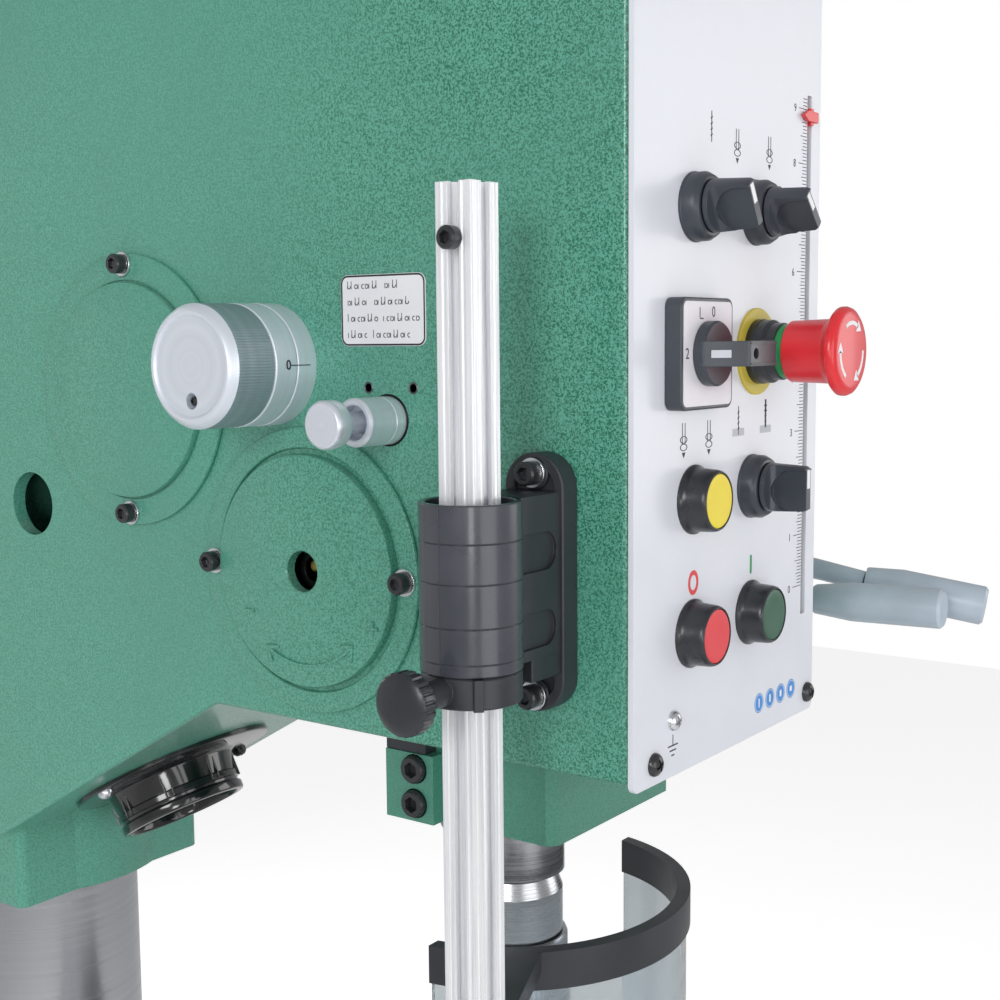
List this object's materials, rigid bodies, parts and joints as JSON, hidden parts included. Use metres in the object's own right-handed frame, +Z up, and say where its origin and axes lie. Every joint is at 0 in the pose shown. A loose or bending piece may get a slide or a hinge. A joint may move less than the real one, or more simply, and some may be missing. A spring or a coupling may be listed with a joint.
{
  "type": "drill press",
  "caption": "Floor-standing geared-head drill press: slotted base, column with rack-lifted tilting table, control panel, power-feed dial, swinging guard and work lamp.",
  "frame": {"origin": "the point on the floor plane straight below the spindle axis, on the base's cross rib", "axes": "+Z up along the spindle and column, -Y towards the operator, +X to the right seen from the front"},
  "size_m": [0.479, 0.71, 2.04],
  "materials": {
    "green_paint": "hammertone",
    "machined_iron": "ground",
    "ground_steel": "ground",
    "black_steel": "black oxide",
    "panel_white": "satin",
    "black_plastic": "satin",
    "gloss_black": "gloss",
    "lens_clear": "clear",
    "shield_clear": "clear",
    "bar_aluminium": "extruded",
    "silver_satin": "satin",
    "red_plastic": "satin",
    "green_plastic": "satin",
    "yellow_plastic": "satin",
    "label_white": "satin",
    "grip_grey": "satin",
    "spring_steel": "blued"
  },
  "bodies": {
    "root": {"base": "green_paint", "column_foot": "green_paint", "column": "ground_steel", "head_casting": "green_paint", "top_cover": "green_paint", "control_panel": "panel_white", "fasteners": "black_steel", "upper_cover": "green_paint", "spring_cover": "green_paint", "return_spring": "spring_steel", "instruction_plate": "label_white", "quill_clamp": "green_paint", "lamp_housing": "gloss_black", "lamp_lens": "lens_clear", "guard_bracket": "black_plastic", "motor_housing": "green_paint", "terminal_box": "green_paint", "dial_ring": "silver_satin", "drift_sleeve": "silver_satin", "switch_plate": "black_plastic", "estop_base": "black_plastic", "control_bezels": "black_plastic", "contact_blocks": "black_plastic"},
    "table_rack": {"table_rack": "ground_steel"},
    "table_bracket": {"table_bracket": "green_paint"},
    "table": {"table": "machined_iron"},
    "lift_pinion": {"lift_pinion": "ground_steel"},
    "table_crank": {"table_crank": "black_steel"},
    "table_lock": {"table_lock": "black_steel"},
    "guard_collar": {"guard_collar": "black_plastic"},
    "guard_bar": {"guard_bar": "bar_aluminium", "guard_arm": "black_plastic", "guard_shield": "shield_clear"},
    "guard_knob": {"guard_knob": "black_plastic"},
    "quill": {"quill": "ground_steel"},
    "spindle": {"spindle": "ground_steel", "chuck_body": "ground_steel", "chuck_jaws": "ground_steel"},
    "chuck_sleeve": {"chuck_sleeve": "ground_steel"},
    "drive_sleeve": {"drive_sleeve": "ground_steel"},
    "countershaft": {"countershaft": "ground_steel"},
    "motor_rotor": {"motor_rotor": "ground_steel"},
    "feed_handle": {"pinion_shaft": "ground_steel", "feed_hub": "ground_steel", "feed_grips": "grip_grey"},
    "clutch_lever": {"clutch_lever": "grip_grey"},
    "feed_dial": {"feed_dial": "silver_satin"},
    "drift_knob": {"drift_knob": "silver_satin"},
    "speed_lever": {"speed_lever": "black_plastic"},
    "range_lever": {"range_lever": "black_plastic"},
    "estop_stem": {"estop_stem": "silver_satin"},
    "estop_head": {"estop_head": "red_plastic"},
    "red_button": {"red_button": "red_plastic"},
    "green_button": {"green_button": "green_plastic"},
    "yellow_button": {"yellow_button": "yellow_plastic"},
    "left_selector": {"left_selector": "black_plastic"},
    "right_selector": {"right_selector": "black_plastic"},
    "lower_selector": {"lower_selector": "black_plastic"},
    "switch_knob": {"switch_knob": "black_plastic"},
    "depth_pointer": {"depth_pointer": "red_plastic"}
  },
  "joints": [
    {"name": "table_swing", "type": "hinge", "parent": "root", "child": "table_rack", "pos_m": [0, 0.39, 0.68], "axis": [0, 0, 1], "range_deg": [-90, 90]},
    {"name": "table_height", "type": "slide", "parent": "table_rack", "child": "table_bracket", "axis": [0, 0, -1], "range_m": [-0.1, 0.5]},
    {"name": "table_tilt", "type": "hinge", "parent": "table_bracket", "child": "table", "pos_m": [0, 0.1, 0.79], "axis": [0, 1, 0], "range_deg": [-45, 45]},
    {"name": "lift_pinion_turn", "type": "hinge", "parent": "table_bracket", "child": "lift_pinion", "pos_m": [-0.0895, 0.39, 0.79], "axis": [0, 1, 0], "range_deg": [-1640, 330]},
    {"name": "table_crank_turn", "type": "hinge", "parent": "table_bracket", "child": "table_crank", "pos_m": [-0.14, 0.411, 0.7625], "axis": [-1, 0, 0], "range_deg": [-3280, 16400]},
    {"name": "table_lock_turn", "type": "hinge", "parent": "table_bracket", "child": "table_lock", "pos_m": [0.106, 0.34, 0.79], "axis": [0, 1, 0], "range_deg": [0, 90]},
    {"name": "guard_swing", "type": "hinge", "parent": "root", "child": "guard_collar", "pos_m": [-0.1418, -0.082, 1.38], "axis": [0, 0, -1], "range_deg": [0, 110]},
    {"name": "guard_height", "type": "slide", "parent": "guard_collar", "child": "guard_bar", "axis": [0, 0, -1], "range_m": [-0.06, 0.08]},
    {"name": "guard_knob_turn", "type": "hinge", "parent": "guard_collar", "child": "guard_knob", "pos_m": [-0.175, -0.082, 1.3827], "axis": [-1, 0, 0], "range_deg": [0, 720]},
    {"name": "quill_feed", "type": "slide", "parent": "root", "child": "quill", "axis": [0, 0, -1], "range_m": [0, 0.16], "stiffness_N_per_m": 260, "springref_m": -0.75},
    {"name": "spindle_spin", "type": "hinge", "parent": "quill", "child": "spindle", "pos_m": [0, 0, 1.4], "axis": [0, 0, 1], "continuous": true},
    {"name": "chuck_sleeve_turn", "type": "hinge", "parent": "spindle", "child": "chuck_sleeve", "pos_m": [0, 0, 1.17], "axis": [0, 0, 1], "range_deg": [0, 720]},
    {"name": "drive_sleeve_spin", "type": "hinge", "parent": "root", "child": "drive_sleeve", "pos_m": [0, 0, 1.66], "axis": [0, 0, 1], "continuous": true},
    {"name": "countershaft_spin", "type": "hinge", "parent": "root", "child": "countershaft", "pos_m": [0, 0.075, 1.7], "axis": [0, 0, 1], "continuous": true},
    {"name": "motor_spin", "type": "hinge", "parent": "root", "child": "motor_rotor", "pos_m": [0, 0.145, 1.85], "axis": [0, 0, 1], "continuous": true},
    {"name": "feed_turn", "type": "hinge", "parent": "root", "child": "feed_handle", "pos_m": [0, 0.055, 1.408], "axis": [1, 0, 0], "range_deg": [0, 432]},
    {"name": "clutch_pull", "type": "slide", "parent": "feed_handle", "child": "clutch_lever", "axis": [1, 0, 0], "range_m": [0, 0.008]},
    {"name": "feed_dial_turn", "type": "hinge", "parent": "root", "child": "feed_dial", "pos_m": [-0.1, 0.0765, 1.5051], "axis": [-1, 0, 0], "range_deg": [0, 300]},
    {"name": "drift_push", "type": "slide", "parent": "root", "child": "drift_knob", "axis": [1, 0, 0], "range_m": [0, 0.008], "stiffness_N_per_m": 300, "springref_m": -0.02},
    {"name": "speed_lever_turn", "type": "hinge", "parent": "root", "child": "speed_lever", "pos_m": [0.09, 0.01, 1.705], "axis": [1, 0, 0], "range_deg": [-40, 40]},
    {"name": "range_lever_turn", "type": "hinge", "parent": "root", "child": "range_lever", "pos_m": [0.09, 0.15, 1.705], "axis": [1, 0, 0], "range_deg": [-40, 40]},
    {"name": "estop_push", "type": "slide", "parent": "root", "child": "estop_stem", "axis": [0, 1, 0], "range_m": [0, 0.0035], "stiffness_N_per_m": 1500, "springref_m": -0.004},
    {"name": "estop_twist", "type": "hinge", "parent": "estop_stem", "child": "estop_head", "pos_m": [0.0203, -0.123, 1.5096], "axis": [0, -1, 0], "range_deg": [0, 45], "stiffness_Nm_per_rad": 0.05, "springref_deg": -11.46},
    {"name": "red_button_push", "type": "slide", "parent": "root", "child": "red_button", "axis": [0, 1, 0], "range_m": [0, 0.004], "stiffness_N_per_m": 600, "springref_m": -0.004},
    {"name": "green_button_push", "type": "slide", "parent": "root", "child": "green_button", "axis": [0, 1, 0], "range_m": [0, 0.004], "stiffness_N_per_m": 600, "springref_m": -0.004},
    {"name": "yellow_button_push", "type": "slide", "parent": "root", "child": "yellow_button", "axis": [0, 1, 0], "range_m": [0, 0.004], "stiffness_N_per_m": 600, "springref_m": -0.004},
    {"name": "left_selector_turn", "type": "hinge", "parent": "root", "child": "left_selector", "pos_m": [-0.0381, -0.123, 1.5704], "axis": [0, -1, 0], "range_deg": [-60, 0]},
    {"name": "right_selector_turn", "type": "hinge", "parent": "root", "child": "right_selector", "pos_m": [0.0188, -0.123, 1.5716], "axis": [0, -1, 0], "range_deg": [-90, 0]},
    {"name": "lower_selector_turn", "type": "hinge", "parent": "root", "child": "lower_selector", "pos_m": [0.0174, -0.123, 1.4484], "axis": [0, -1, 0], "range_deg": [-45, 45]},
    {"name": "switch_turn", "type": "hinge", "parent": "root", "child": "switch_knob", "pos_m": [-0.0408, -0.123, 1.5094], "axis": [0, -1, 0], "range_deg": [-180, 0]},
    {"name": "depth_pointer_slide", "type": "slide", "parent": "root", "child": "depth_pointer", "axis": [0, 0, -1], "range_m": [0, 0.16]}
  ],
  "couplings": [
    {"joint": "feed_turn", "follows": "quill_feed", "rad_per_m": 47.059},
    {"joint": "depth_pointer_slide", "follows": "quill_feed", "ratio": 1},
    {"joint": "drive_sleeve_spin", "follows": "spindle_spin", "ratio": 1},
    {"joint": "countershaft_spin", "follows": "spindle_spin", "ratio": -2.75},
    {"joint": "motor_spin", "follows": "spindle_spin", "ratio": 6.875},
    {"joint": "lift_pinion_turn", "follows": "table_height", "rad_per_m": -57.143},
    {"joint": "table_crank_turn", "follows": "table_height", "rad_per_m": 571.43}
  ]
}
